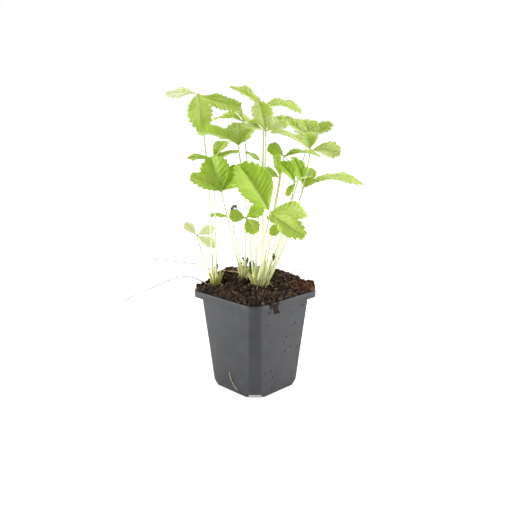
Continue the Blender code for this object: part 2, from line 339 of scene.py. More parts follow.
def corner_slope(quarter):
    """The slant under a bottom corner, outside the notch."""
    bm = bmesh.new()
    bmesh.ops.create_cube(bm, size=2.0)
    for v in bm.verts:
        z = 10.0 if v.co.z > 0 else -CUTTER_BELOW
        v.co = Vector((60.0 if v.co.x > 0 else SLOPE_FOOT + SLOPE_LEAN * z, v.co.y * 20.0, z))
    return turn_to_corner(bm, quarter)


def clouds(nodes, where, scale, detail, roughness=0.5):
    """Cloudy noise, from 0 to 1."""
    links = {"Vector": where, "Scale": scale, "Detail": detail, "Roughness": roughness}
    return nodes.get("ShaderNodeTexNoise", links, "Fac")


def stretched(nodes, where, scale, rotation=(0.0, 0.0, 0.0)):
    """The place turned and scaled unevenly, for long streaks."""
    return nodes.get("ShaderNodeMapping", {"Vector": where, "Rotation": rotation, "Scale": scale})


def ramp(nodes, factor, *stops):
    """A colour ramp from (position, colour) stops."""
    node = nodes.add("ShaderNodeValToRGB", {"Fac": factor})
    elements = node.color_ramp.elements
    for i, (position, colour) in enumerate(stops):
        element = elements[i] if i < 2 else elements.new(position)
        element.position = position
        element.color = (*colour, 1.0)
    return Term(nodes, node.outputs["Color"])


def blend(nodes, factor, first, second):
    """Mix two colours."""
    return nodes.get("ShaderNodeMix", {0: factor, 6: first, 7: second}, 2, data_type="RGBA")


def relief(nodes, height, strength, distance):
    """Fine relief for a shader's Normal."""
    links = {"Height": height, "Strength": strength, "Distance": distance}
    return nodes.get("ShaderNodeBump", links, "Normal")


# Moulded plastic: faint mottling, scuffs and soil dust.
pot_mat, nodes, shader = new_material("pot_plastic", 0.45, 0.3)
place = nodes.place()
mottle = clouds(nodes, place, 55.0, 6.0, 0.6)
scuffs = clouds(nodes, stretched(nodes, place, (70.0, 70.0, 900.0), (0.3, 0.2, 0.5)), 1.0, 4.0)
patches = clouds(nodes, place, 28.0, 3.0)
dots = nodes.add("ShaderNodeTexVoronoi", {"Vector": place, "Scale": 260.0}).outputs
colour = ramp(nodes, mottle, (0.3, POT_GREY), (0.75, POT_PALE))
scuffed = ramp(nodes, scuffs, (0.60, BLACK), (0.72, WHITE))
scuffed = scuffed * ramp(nodes, patches, (0.5, BLACK), (0.7, HALF_GREY))
dot = ramp(nodes, Term(nodes, dots["Distance"]), (0.10, WHITE), (0.16, BLACK))
rare = ramp(nodes, Term(nodes, dots["Color"]), (0.80, BLACK), (0.82, WHITE))
colour = blend(nodes, scuffed, colour, SCUFF_GREY)
colour = blend(nodes, dot * rare, colour, DUST_BROWN)
nodes.feed(shader["Base Color"], colour)
nodes.feed(shader["Roughness"], nodes.remap(mottle, 0.0, 1.0, 0.34, 0.50))
nodes.feed(shader["Normal"], relief(nodes, clouds(nodes, place, 900.0, 2.0), 0.12, 0.0003))


def moulding(name, *sizes, **choices):
    """A square block in the pot's plastic."""
    return to_object(name, square_block(*sizes, **choices), pot_mat)


under = RIM_HALF - RIM_SKIRT
rim_foot = POT_HEIGHT - RIM_DROP
wall_top = POT_HEIGHT - WALL / 2
hollow_top = POT_HEIGHT + HOLLOW_OPEN
inner_chamfer = CHAMFER - WALL * (2 - math.sqrt(2))
pot = moulding("nursery_pot", RIM_HALF, RIM_HALF, rim_foot, POT_HEIGHT, CORNER + 1.5, RIM_ROUND)
cut(pot, moulding("under_rim", under, under, rim_foot - CUTTER_BELOW, POT_HEIGHT - WALL, CORNER + 0.5))
cut(pot, moulding("wall", BASE_HALF, wall_half(wall_top, 0), 0.0, wall_top, CHAMFER, flat=True), "UNION")
hollow_low, hollow_high = wall_half(FLOOR, WALL), wall_half(hollow_top, WALL)
hollow = moulding("hollow", hollow_low, hollow_high, FLOOR, hollow_top, inner_chamfer, flat=True)
for quarter in range(4):
    cut(hollow, to_object("step", corner_block(quarter, FLOOR, NOTCH_HIGH + FLOOR), pot_mat))
    cut(pot, to_object("notch", corner_block(quarter, 0.0, NOTCH_HIGH), pot_mat))
    cut(pot, to_object("slope", corner_slope(quarter), pot_mat))
cut(pot, hollow)
edges = pot.modifiers.new("Edges", "BEVEL")
edges.width = EDGE_ROUND * MM
edges.segments = 2
edges.limit_method = "ANGLE"
edges.angle_limit = math.radians(SHARP_FROM)
settle(pot)
pot.data.shade_smooth()
pot.data.set_sharp_from_angle(angle=math.radians(SHARP_FROM))
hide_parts("pot")
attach(pot, "root")

# ---- soil ---------------------------------------------------------------------
# Peat compost heaped a little above the rim: lumpy ground, loose crumbs of every
# size and light plant fibres.
INSET = WALL + 0.3
SOIL_EDGE = 95.0
HEAP_RISE = 13.0
HEAP_AT = (-14.0, 14.0)
HEAP_SPREAD = 24.0
CROWNS = {"main": (9.0, -2.0, 8.0), "mid": (-12.0, -3.0, 5.0), "left": (-30.0, -24.0, 5.0)}
CROWN_BLEND = 5.0
SOIL_CORNER = 12.5
# Low mounds: place, rise and spread of each.
MOUNDS = (
    (-37, -4, 7.0, 10.0), (-20, 22, 3.0, 12.0), (10, 36, 3.5, 12.0),
    (38, 36, 4.0, 9.0), (30, -20, 1.5, 10.0), (-6, -34, 1.5, 8.0),
)
OVER_RIM = 43.9
RIM_COVER = 2.2
COVER_FROM = 28.0
COVER_WIDE = 10.0
PRESS_MARGIN = 1.0
SOIL_BRIM = POT_HEIGHT + 0.3
SOIL_RINGS = 30
CRUMB_SMALL = 0.45
CRUMB_LARGE = 1.9
CRUMB_DENSITY = 520000.0
CRUMB_JITTER = 1.1
FULL_TURN = 6.28
ROUGH_GROUND = 1.3
LOOSE_ABOVE = 96.3
FIBRE_DENSITY = 42000.0
FIBRE_SHORT = 1.2
FIBRE_LONG = 4.5
SPILLED_CRUMBS = 110
SPILL_DROP = 11.5
SPILL_AT = -20.0
RIGHT_WALL_SPECKS = 34
LEFT_WALL_SPECKS = 10
SPECK_SINK = 0.15
RUST_AT = (0.036, 0.030, 0.100)
RUST_RED = (0.26, 0.075, 0.030)


def held(value):
    """The value kept between 0 and 1."""
    return min(max(value, 0.0), 1.0)


def heap_height(x, y):
    """The plain heap, highest behind the middle."""
    dx, dy = x - HEAP_AT[0], y - HEAP_AT[1]
    return SOIL_EDGE + HEAP_RISE * math.exp(-(dx * dx + dy * dy) / (2 * HEAP_SPREAD ** 2))


def soil_height(x, y):
    """The heap and its mounds, raised over the rim and pressed level under each crown."""
    height = heap_height(x, y)
    for mx, my, rise, spread in MOUNDS:
        height += rise * math.exp(-((x - mx) ** 2 + (y - my) ** 2) / (2 * spread ** 2))
    height += RIM_COVER * held((max(abs(x), abs(y)) - COVER_FROM) / COVER_WIDE)
    pressed, levels = 0.0, 0.0
    for cx, cy, radius in CROWNS.values():
        away = math.hypot(x - cx, y - cy) - radius
        weight = 1.0 - held((away - PRESS_MARGIN) / CROWN_BLEND)
        pressed += weight
        levels += weight * heap_height(cx, cy)
    free = 1.0 - min(pressed, 1.0)
    return height * free + levels / max(pressed, 1e-6) * (1.0 - free)


class Growth(Nodes):
    """A Geometry Nodes tree with named inputs for its sizes."""

    def __init__(self, name, *inputs):
        super().__init__(bpy.data.node_groups.new(name, "GeometryNodeTree"))
        face = self.tree.interface
        face.new_socket("Geometry", in_out="INPUT", socket_type="NodeSocketGeometry")
        for label, kind, value in inputs:
            socket = face.new_socket(label, in_out="INPUT", socket_type="NodeSocket" + kind)
            if value is not None:
                socket.default_value = value
        face.new_socket("Geometry", in_out="OUTPUT", socket_type="NodeSocketGeometry")
        self.source = self.tree.nodes.new("NodeGroupInput").outputs

    def given(self, label):
        """One of the tree's own inputs."""
        return Term(self, self.source[label])

    def position(self):
        return self.get("GeometryNodeInputPosition")

    def split(self, vector):
        """The three parts of a vector."""
        outputs = self.add("ShaderNodeSeparateXYZ", {0: vector}).outputs
        return [Term(self, socket) for socket in outputs]

    def vector(self, x=0.0, y=0.0, z=0.0):
        return self.get("ShaderNodeCombineXYZ", {0: x, 1: y, 2: z})

    def roll(self, seed, low=0.0, high=1.0):
        """A random number, or a random vector when low and high are vectors."""
        if isinstance(low, tuple):
            links = {0: low, 1: high, "Seed": seed}
            return self.get("FunctionNodeRandomValue", links, 0, data_type="FLOAT_VECTOR")
        links = {2: low, 3: high, "Seed": seed}
        return self.get("FunctionNodeRandomValue", links, 1, data_type="FLOAT")

    def store(self, geometry, name, value, kind="FLOAT", domain="POINT"):
        """Keep a value on the geometry under a name; stored reads it again."""
        links = {"Geometry": geometry, "Name": name, "Value": value}
        return self.get("GeometryNodeStoreNamedAttribute", links, data_type=kind, domain=domain)

    def stored(self, name, kind="BOOLEAN"):
        return self.get("GeometryNodeInputNamedAttribute", {"Name": name}, data_type=kind)

    def scatter(self, mesh, density, seed, **where):
        """Points strewn over a mesh, and the turn that stands a piece upright on each."""
        links = {"Mesh": mesh, "Density": density, "Seed": seed, **where}
        outputs = self.add("GeometryNodeDistributePointsOnFaces", links).outputs
        return Term(self, outputs["Points"]), Term(self, outputs["Rotation"])

    def set_out(self, points, piece, rotation, scale):
        """A copy of a piece on every point."""
        links = {"Points": points, "Instance": piece, "Rotation": rotation, "Scale": scale}
        return self.get("GeometryNodeInstanceOnPoints", links)

    def realize(self, geometry):
        return self.get("GeometryNodeRealizeInstances", {"Geometry": geometry})

    def gather(self, *parts):
        """Several geometries as one."""
        node = self.add("GeometryNodeJoinGeometry")
        for part in parts:
            self.feed(node.inputs[0], part)
        return Term(self, node.outputs[0])

    def shade_smooth(self, geometry):
        return self.get("GeometryNodeSetShadeSmooth", {"Geometry": geometry})

    def rod(self, path, radius, sides):
        """A round rod along a path, as thick as the radius at each place."""
        path = self.get("GeometryNodeSetCurveRadius", {"Curve": path, "Radius": radius})
        ring = self.get("GeometryNodeCurvePrimitiveCircle", {"Resolution": sides, "Radius": 1.0})
        rod = self.add("GeometryNodeCurveToMesh", {"Curve": path, "Profile Curve": ring, "Fill Caps": True})
        if "Scale" in rod.inputs:
            self.feed(rod.inputs["Scale"], self.get("GeometryNodeInputRadius"))
        return self.shade_smooth(Term(self, rod.outputs[0]))

    def finish(self, geometry, *coats):
        """Realize the instances, set the materials and end the tree."""
        geometry = self.realize(geometry)
        for material, selection in coats:
            links = {"Geometry": geometry, "Material": material}
            if selection is not None:
                links["Selection"] = selection
            geometry = self.get("GeometryNodeSetMaterial", links)
        self.feed(self.tree.nodes.new("NodeGroupOutput").inputs[0], geometry)


def grow(obj, growth, values):
    """Run a Geometry Nodes tree on the object and keep its result as plain mesh."""
    tree = growth.tree
    mod = obj.modifiers.new(tree.name, "NODES")
    mod.node_group = tree
    sockets = [item for item in tree.interface.items_tree if item.item_type == "SOCKET"]
    ids = {item.name: item.identifier for item in sockets if item.in_out == "INPUT"}
    for label, value in values.items():
        mod[ids[label]] = value
    return settle(obj)


def empty_mesh(name, points=()):
    """An object that holds nothing, or one open line of edges through points in millimetres."""
    mesh = bpy.data.meshes.new(name)
    mesh.from_pydata([Vector(p) * MM for p in points], [(i, i + 1) for i in range(len(points) - 1)], [])
    obj = bpy.data.objects.new(name, mesh)
    scene.collection.objects.link(obj)
    return obj


def smooth_path(points, steps):
    """Points on a smooth curve that passes through the given ones."""
    pts = [Vector(p) for p in points]
    path = []
    for i in range(len(pts) - 1):
        before, after = pts[max(i - 1, 0)], pts[min(i + 2, len(pts) - 1)]
        a, b = pts[i], pts[i + 1]
        for k in range(steps):
            t = k / steps
            line = 2 * a + (b - before) * t
            bow = (2 * before - 5 * a + 4 * b - after) * t * t
            sway = (3 * a - before - 3 * b + after) * t ** 3
            path.append(0.5 * (line + bow + sway))
    return path + [pts[-1]]


def join(name, parts):
    """Several objects as one, keeping their materials."""
    chosen = {"active_object": parts[0], "selected_editable_objects": parts, "selected_objects": parts}
    with bpy.context.temp_override(**chosen):
        bpy.ops.object.join()
    parts[0].name = name
    return parts[0]


def streaked(name, roughness, specular, scale, detail, low, high, stretch=None):
    """A plain dry skin whose colour runs between two tones in streaks."""
    mat, nodes, shader = new_material(name, roughness, specular)
    place = nodes.place()
    if stretch:
        place = stretched(nodes, place, stretch)
    nodes.feed(shader["Base Color"], ramp(nodes, clouds(nodes, place, scale, detail), low, high))
    return mat


# Dark moist peat, each crumb in its own tone, with a rusty patch by the right corner.
soil_mat, nodes, shader = new_material("potting_soil", 0.92, 0.2)
place = nodes.place()
crumb_tone = nodes.get("ShaderNodeAttribute", out="Fac", attribute_name="crumb_tone")
lumps = clouds(nodes, place, 420.0, 4.0, 0.65)
patches = clouds(nodes, place, 60.0, 2.0)
fine = clouds(nodes, place, 2200.0, 3.0)
tone = nodes.calc("MULTIPLY_ADD", crumb_tone, 0.30, lumps * patches)
peat = (
    (0.20, (0.008, 0.005, 0.004)), (0.38, (0.026, 0.015, 0.010)),
    (0.50, (0.085, 0.046, 0.028)), (0.62, (0.22, 0.13, 0.08)),
)
from_rust = nodes.get("ShaderNodeVectorMath", {0: place, 1: RUST_AT}, "Value", operation="DISTANCE")
rust = nodes.remap(from_rust, 0.004, 0.016, 0.75, 0.0, soft=True)
nodes.feed(shader["Base Color"], blend(nodes, rust * crumb_tone, ramp(nodes, tone, *peat), RUST_RED))
nodes.feed(shader["Normal"], relief(nodes, fine, 0.6, 0.0004))

fibre_mat = streaked(
    "soil_fibre", 0.85, 0.2, 300.0, 2.0, (0.35, (0.10, 0.055, 0.03)), (0.7, (0.38, 0.26, 0.15)))
rootlet_mat = streaked(
    "pale_rootlet", 0.6, 0.3, 500.0, 2.0, (0.35, (0.42, 0.36, 0.20)), (0.65, (0.78, 0.74, 0.52)))

# The ground is roughened, and crumbs and fibres are strewn over it. A crumb also
# lies on every point of the mesh that belongs to no face.
crumbs = Growth(
    "soil_crumbs",
    ("Smallest", "Float", CRUMB_SMALL * MM), ("Largest", "Float", CRUMB_LARGE * MM),
    ("Density", "Float", CRUMB_DENSITY), ("Fibres", "Float", FIBRE_DENSITY),
    ("Roughness", "Float", ROUGH_GROUND * MM), ("Seed", "Int", 7),
    ("Soil", "Material", None), ("Fibre", "Material", None))
given = crumbs.given
neighbours = crumbs.get("GeometryNodeInputMeshVertexNeighbors", out="Face Count")
loose = crumbs.calc("LESS_THAN", neighbours, 0.5)
placed = crumbs.get("GeometryNodeMeshToPoints", {"Mesh": given("Geometry"), "Selection": loose})
ground = crumbs.get("GeometryNodeDeleteGeometry", {"Geometry": given("Geometry"), "Selection": loose})
ground = crumbs.get("GeometryNodeSubdivideMesh", {"Mesh": ground, "Level": 1})
position = crumbs.position()
on_top = crumbs.calc("GREATER_THAN", crumbs.split(position)[2], LOOSE_ABOVE * MM)
clods = clouds(crumbs, position, 110.0, 2.0) - 0.5
rough = crumbs.calc("MULTIPLY_ADD", clods, 1.3, clouds(crumbs, position, 260.0, 5.0, 0.65) - 0.5)
lift = crumbs.vector(0.0, 0.0, rough * (given("Roughness") * 3.0))
ground = crumbs.get("GeometryNodeSetPosition", {"Geometry": ground, "Selection": on_top, "Offset": lift})

strewn, _ = crumbs.scatter(ground, given("Density"), given("Seed"), Selection=on_top)
grit = crumbs.get("GeometryNodeMeshIcoSphere", {"Radius": 1.0, "Subdivisions": 1})
spin = crumbs.roll(3, (0.0, 0.0, 0.0), (FULL_TURN, FULL_TURN, FULL_TURN))
crumb_size = crumbs.calc("MULTIPLY_ADD", crumbs.roll(5) ** 3.0, given("Largest"), given("Smallest"))
stretch = crumbs.roll(9, (0.7, 0.6, 0.45), (1.3, 1.1, 0.9))
scale = crumbs.get("ShaderNodeVectorMath", {0: stretch, "Scale": crumb_size}, operation="SCALE")
pieces = crumbs.set_out(crumbs.gather(placed, strewn), grit, spin, scale)
pieces = crumbs.realize(crumbs.store(pieces, "crumb_tone", crumbs.roll(11), domain="INSTANCE"))
uneven = crumbs.get("ShaderNodeTexNoise", {"Vector": position, "Scale": 1500.0, "Detail": 1.0}, "Color")
uneven = crumbs.get("ShaderNodeVectorMath", {0: uneven, 1: (0.5, 0.5, 0.5)}, operation="SUBTRACT")
uneven = crumbs.get("ShaderNodeVectorMath", {0: uneven, "Scale": CRUMB_JITTER * MM}, operation="SCALE")
pieces = crumbs.get("GeometryNodeSetPosition", {"Geometry": pieces, "Offset": uneven})

strands, _ = crumbs.scatter(ground, given("Fibres"), 21, Selection=on_top)
bowed = {"Resolution": 5, "Start": (-1.0, 0.0, 0.0), "Middle": (0.0, 0.5, 0.35), "End": (1.0, 0.0, 0.1)}
arc = crumbs.get("GeometryNodeCurveQuadraticBezier", bowed)
thin = crumbs.get("GeometryNodeCurvePrimitiveCircle", {"Resolution": 4, "Radius": 0.045})
fibre = crumbs.get("GeometryNodeCurveToMesh", {"Curve": arc, "Profile Curve": thin, "Fill Caps": True})
turn = crumbs.roll(13, (-0.5, -0.5, 0.0), (0.5, 0.5, FULL_TURN))
long = crumbs.roll(17, FIBRE_SHORT * MM, FIBRE_LONG * MM)
fibres = crumbs.realize(crumbs.set_out(strands, fibre, turn, long))
fibres = crumbs.store(fibres, "is_fibre", True, "BOOLEAN")
whole = crumbs.gather(fibres, pieces, ground)
crumbs.finish(whole, (given("Soil"), None), (given("Fibre"), crumbs.stored("is_fibre")))

# A rootlet caught on the outside of the wall: a thin round thread.
WALL_ROOTLET = ((-0.6, -33.95, 19.0), (0.6, -33.75, 14.0), (3.2, -33.3, 9.0), (9.6, -32.65, 3.0))
ROOTLET_RADIUS = 0.32
strand = Growth("thin_strand", ("Thickness", "Float", 0.0003), ("Skin", "Material", None))
line = strand.get("GeometryNodeMeshToCurve", {"Mesh": strand.given("Geometry")})
strand.finish(strand.rod(line, strand.given("Thickness"), 6), (strand.given("Skin"), None))


def rounded_loop(half, corner, z, steps=10):
    """Points round a square with rounded corners, evenly along its sides."""
    points = []
    for quarter in range(4):
        middle = math.radians(45 + 90 * quarter)
        cx = (half - corner) * (1 if math.cos(middle) > 0 else -1)
        cy = (half - corner) * (1 if math.sin(middle) > 0 else -1)
        for i in range(steps + 1):
            angle = math.radians(90 * quarter + 90 * i / steps)
            points.append(Vector((cx + corner * math.cos(angle), cy + corner * math.sin(angle), z)))
        ahead = math.radians(90 * (quarter + 1))
        end = points[-1].copy()
        for k in range(1, 10):
            along = (2 * (half - corner)) * k / 10
            points.append(Vector((end.x - math.sin(ahead) * along, end.y + math.cos(ahead) * along, z)))
    return points


bm = bmesh.new()
side_levels = (NOTCH_HIGH + FLOOR + 1.0, 60.0, SOIL_BRIM)
loops = [rounded_loop(wall_half(z, INSET), SOIL_CORNER, z) for z in side_levels]
brim = rounded_loop(OVER_RIM, SOIL_CORNER, 0.0)
for p in brim:
    p.xy *= 1.0 + 0.022 * noise.noise(p * 0.13) + 0.012 * noise.noise(p * 0.5)
loops.append([Vector((p.x, p.y, SOIL_BRIM)) for p in brim])
for ring in range(SOIL_RINGS):
    share = 1.0 - ring / float(SOIL_RINGS)
    loops.append([Vector((p.x * share, p.y * share, soil_height(p.x * share, p.y * share))) for p in brim])
rows = [[bm.verts.new(p) for p in loop] for loop in loops]
for low, high in zip(rows, rows[1:]):
    for i in range(len(low)):
        j = (i + 1) % len(low)
        bm.faces.new((low[i], low[j], high[j], high[i]))
bm.faces.new(list(reversed(rows[0])))
peak = bm.verts.new((0.0, 0.0, soil_height(0.0, 0.0)))
for i in range(len(brim)):
    bm.faces.new((rows[-1][i], rows[-1][(i + 1) % len(brim)], peak))
# Soil that has run over the rim by the near corner, and specks stuck to the walls.
dice = random.Random(4)
for _ in range(SPILLED_CRUMBS):
    fall = dice.random() ** 1.2
    x = RIM_HALF + 0.5 - 0.7 * dice.random()
    y = SPILL_AT + (1.0 - fall) * dice.uniform(-9.0, 7.0) + fall * dice.uniform(-1.0, 6.0)
    bm.verts.new((x, y, POT_HEIGHT + 0.8 - SPILL_DROP * fall))
for _ in range(RIGHT_WALL_SPECKS):
    z = dice.uniform(8.0, 86.0)
    y = dice.uniform(-0.75, 0.75) * wall_half(z, 0.0)
    for _ in range(dice.choice((1, 2, 3))):
        z += dice.uniform(-0.8, 0.8)
        y += dice.uniform(-0.8, 0.8)
        bm.verts.new((wall_half(z, SPECK_SINK), y, z))
for _ in range(LEFT_WALL_SPECKS):
    z = dice.uniform(4.0, 80.0)
    bm.verts.new((dice.uniform(-0.75, 0.75) * wall_half(z, 0.0), -wall_half(z, SPECK_SINK), z))
ground = grow(to_object("potting_soil", bm, soil_mat), crumbs, {"Soil": soil_mat, "Fibre": fibre_mat})
thread = empty_mesh("wall_rootlet", smooth_path(WALL_ROOTLET, 6))
thread = grow(thread, strand, {"Thickness": ROOTLET_RADIUS * MM, "Skin": rootlet_mat})
soil = join("potting_soil", [ground, thread])
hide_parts("soil")
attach(soil, "root")

# ---- leaves -------------------------------------------------------------------
# Each grown leaf has a long hairy petiole and three toothed leaflets on short
# stalks. The blades are thin, folded along the midrib and pleated between the
# side veins, bright green above and paler beneath.
LEAF_DARK = (0.29, 0.455, 0.014)
LEAF_MID = (0.37, 0.465, 0.070)
LEAF_PALE = (0.56, 0.61, 0.38)
# The petiole's whitish tone is partly its own pale colour and partly a painted highlight; its greyer upper
# tone is painted shade.
STEM_PALE_AND_PAINTED_HIGHLIGHT = (0.80, 0.82, 0.60)
STEM_FOOT = (0.36, 0.36, 0.09)
STEM_LOW = (0.60, 0.62, 0.26)
STEM_UPPER_PAINTED_SHADE = (0.42, 0.42, 0.21)
STEM_GREEN = (0.48, 0.56, 0.20)
HAIR_WHITE = (0.85, 0.88, 0.70)
HAIR_TIP = (0.66, 0.70, 0.44)
VEIN_PALE = (0.62, 0.70, 0.34)
UNDER_DARK = (0.34, 0.48, 0.12)
UNDER_MID = (0.48, 0.60, 0.24)
UNDER_PALE = (0.66, 0.75, 0.44)
UNDER_VEIN = (0.70, 0.78, 0.48)
VEIN_RELIEF = 0.4
LEAF_GLOW = 0.45
FOOT_LIFT = 1.0
PATH_STEPS = 16
HAIR_DENSITY = 900000.0
HAIR_LENGTH = 0.9
STALK_LENGTH = 1.4
TIP_REACH = 5.3
BLADE_THICK = 0.32
EDGE_WAVE = 0.022
RUMPLE = 0.22
FINE_GRID = (97, 19)
PETIOLE_FOOT = 1.05
PETIOLE_HEAD = 0.48
TEETH_PER_MM = 0.23
FOLD_MORE = 8.0
TWISTED = {"leaf_10_c": 1.2}
# How light each leaflet is, from dark green at 0 to pale yellow green at 1. This is partly the leaflet's own
# tone and partly painted light: paler for leaflets at the back, lit from above and behind, and darker for
# leaflets at the front that face the camera in less light.
LEAF_TONES_AND_PAINTED_LIGHT = {
    "leaf_01": (0.85, 0.30, 0.35), "leaf_02": (0.50, 0.50, 0.60), "leaf_03": (0.50, 0.45, 0.55),
    "leaf_04": (0.55, 0.60, 0.50), "leaf_05": (0.35, 0.45, 0.40), "leaf_06": (0.25, 0.10, 0.05),
    "leaf_07": (0.15, 0.30, 0.35), "leaf_08": (0.10, 0.55, 0.30), "leaf_09": (0.60, 0.35, 0.55),
    "leaf_10": (0.60, 0.45, 0.60), "young_01": (0.35, 0.50, 0.30), "young_02": (0.30, 0.20, 0.25),
    "young_03": (0.20,), "young_04": (1.00, 1.05, 0.95), "young_05": (0.30, 0.40, 0.35),
    "young_06": (0.10, 0.30, 0.35), "young_07": (0.20, 0.40, 0.45), "young_08": (0.40, 0.50),
    "young_09": (0.60,),
}

# Each leaf: its clump; the heading and reach of its foot; how far along it leans;
# the heading, reach and height of its hub; then for each leaflet the heading,
# pitch, bend, roll, length, width and fold.
LEAVES = {
    "leaf_01": ("left", 215, 3, 0.10, (215, 54, 279), (
        (215, 10, 25, -30, 27, 17, 5),
        (325, -30, 45, 5, 39, 21, 12),
        (50, -25, -25, 45, 38, 17, 10))),
    "leaf_02": ("main", 160, 6, 0.45, (160, 27, 254), (
        (215, 30, 60, -25, 27, 18, 15),
        (200, 65, 75, -15, 35, 16, 15),
        (110, 5, 20, 30, 20, 18, 15))),
    "leaf_03": ("main", 110, 3, 0.50, (105, 16, 269), (
        (215, 35, 15, -30, 32, 17, 15),
        (50, 10, 45, 20, 33, 20, 15),
        (135, -5, 10, -10, 28, 20, 15))),
    "leaf_04": ("main", 350, 3, 0.50, (350, 17, 246), (
        (160, 65, 20, -15, 26, 19, 15),
        (70, 30, 20, 45, 20, 16, 15),
        (230, 20, 30, -15, 18, 14, 20))),
    "leaf_05": ("main", 230, 6, 0.40, (250, 17, 233), (
        (230, 40, 50, -25, 35, 20, 20),
        (130, 55, 20, 15, 23, 22, 15),
        (65, 50, 15, 30, 30, 16, 20))),
    "leaf_06": ("mid", 250, 3, 0.50, (260, 37, 192), (
        (240, 35, 20, -40, 27, 17, 15),
        (175, 65, 15, -35, 32, 26, 15),
        (60, 50, 20, 35, 28, 28, 15))),
    "leaf_07": ("main", 290, 6, 0.50, (335, 38, 176), (
        (215, 60, 15, -50, 46, 34, 20),
        (60, 5, 35, 40, 34, 18, 20),
        (0, -20, 30, 55, 36, 18, 20))),
    "leaf_08": ("main", 60, 6, 0.60, (55, 47, 194), (
        (170, 65, 20, -10, 28, 14, 20),
        (50, 25, 50, 10, 56, 22, 15),
        (110, 50, 20, 10, 20, 16, 15))),
    "leaf_09": ("main", 100, 6, 0.60, (75, 60, 240), (
        (210, 35, 20, -30, 36, 16, 20),
        (145, 40, 20, -10, 26, 24, 15),
        (60, 15, -25, 20, 22, 18, 20))),
    "leaf_10": ("main", 0, 7, 0.70, (40, 51, 229), (
        (220, 40, 35, -15, 36, 18, 20),
        (145, 45, 20, -10, 22, 20, 15),
        (35, 0, 5, 15, 23, 16, 20))),
}


def vein_group():
    """Shader group: masks of the veins and their relief from the leaf's own map."""
    group = bpy.data.node_groups.new("leaf_veins", "ShaderNodeTree")
    width = group.interface.new_socket("Vein Width", in_out="INPUT", socket_type="NodeSocketFloat")
    width.default_value = 0.09
    for label in ("Veins", "Net", "Height"):
        group.interface.new_socket(label, in_out="OUTPUT", socket_type="NodeSocketFloat")
    nodes = Nodes(group)
    vein_width = nodes.get("NodeGroupInput")
    leaf_map = nodes.get("ShaderNodeAttribute", out="Vector", attribute_name="leaf_map")
    axes = nodes.add("ShaderNodeSeparateXYZ", {0: leaf_map}).outputs
    rows, across = Term(nodes, axes[0]), abs(Term(nodes, axes[1]))
    apart = abs(nodes.calc("FRACT", nodes.calc("ADD", rows, 0.78)) - 0.5)
    side = 1.0 - nodes.remap(apart, 0.0, vein_width, soft=True)
    side = side * nodes.calc("MULTIPLY_ADD", nodes.remap(across, 1.0, 0.7, soft=True), 0.6, 0.4)
    mid = 1.0 - nodes.remap(across, 0.02, 0.07, soft=True)
    mesh_of_veins = {"Vector": nodes.place(), "Scale": 1100.0}
    cells = nodes.get("ShaderNodeTexVoronoi", mesh_of_veins, "Distance", feature="DISTANCE_TO_EDGE")
    net = 1.0 - nodes.remap(cells, 0.0, 0.10, soft=True)
    result = group.nodes.new("NodeGroupOutput").inputs
    nodes.feed(result["Veins"], nodes.calc("MAXIMUM", side * 0.28, mid * 0.8))
    nodes.feed(result["Net"], net)
    nodes.feed(result["Height"], nodes.calc("MAXIMUM", side, mid) * -0.7)
    return group


leaf_veins = vein_group()


def let_light_in(shader, weight, radius, depth):
    """Light that enters thin plant tissue and leaves it close by."""
    shader["Subsurface Weight"].default_value = weight
    shader["Subsurface Radius"].default_value = radius
    shader["Subsurface Scale"].default_value = depth * MM


def leaf_material(name, dark, mid, pale, vein, roughness, vein_relief, glow):
    """A leaf's skin: a tone that, for the leaflets, holds painted light as well as their own colour, lighter
    veins and a fine net between them.
    """
    mat, nodes, shader = new_material(name, roughness, 0.35)
    broad = clouds(nodes, nodes.place(), 60.0, 4.0)
    # The tone set on each piece; for the leaflets it is partly painted light, paler where a leaflet is lit
    # from above and behind.
    own = nodes.get("ShaderNodeAttribute", out="Fac", attribute_name="leaf_tone_and_painted_light")
    tone = nodes.calc("MULTIPLY_ADD", broad - 0.5, 0.9, own)
    veins = nodes.add("ShaderNodeGroup", node_tree=leaf_veins).outputs
    veins = {socket.name: Term(nodes, socket) for socket in veins}
    colour = ramp(nodes, tone, (0.0, dark), (0.5, mid), (1.0, pale))
    colour = blend(nodes, veins["Net"], colour, blend(nodes, 0.12, colour, vein))
    colour = blend(nodes, veins["Veins"] * 0.65, colour, vein)
    nodes.feed(shader["Base Color"], colour)
    nodes.feed(shader["Normal"], relief(nodes, veins["Height"], 0.5, vein_relief * MM))
    let_light_in(shader, glow, (0.9, 1.0, 0.4), 1.2)
    return mat


top_mat = leaf_material(
    "leaf_upper", LEAF_DARK, LEAF_MID, LEAF_PALE, VEIN_PALE, 0.45, VEIN_RELIEF, LEAF_GLOW)
under_mat = leaf_material(
    "leaf_under", UNDER_DARK, UNDER_MID, UNDER_PALE, UNDER_VEIN, 0.6, -VEIN_RELIEF, LEAF_GLOW)

# Petiole skin: brownish at the foot, whitish up most of its length, greyer towards the top and green at the
# hub. The whitish part is partly the petiole's own pale colour and partly a painted highlight. The greyer,
# darker upper part is painted shade of the upper petioles seen against the bright surround.
stem_mat, nodes, shader = new_material("petiole_skin", 0.5, 0.35)
along = nodes.get("ShaderNodeAttribute", out="Fac", attribute_name="along")
streak = clouds(nodes, stretched(nodes, nodes.place(), (1.0, 1.0, 0.08)), 700.0, 3.0)
colour = ramp(
    nodes, along, (0.0, STEM_FOOT), (0.07, STEM_LOW), (0.18, STEM_PALE_AND_PAINTED_HIGHLIGHT),
    (0.45, STEM_PALE_AND_PAINTED_HIGHLIGHT), (0.8, STEM_UPPER_PAINTED_SHADE), (1.0, STEM_GREEN))
colour = blend(nodes, nodes.remap(streak, 0.45, 0.75, 0.0, 0.5), colour, STEM_GREEN)
nodes.feed(shader["Base Color"], colour)
let_light_in(shader, 0.5, (1.0, 1.0, 0.4), 1.5)

hair_mat = streaked("leaf_hair", 0.5, 0.3, 1500.0, 1.0, (0.35, HAIR_TIP), (0.65, HAIR_WHITE))

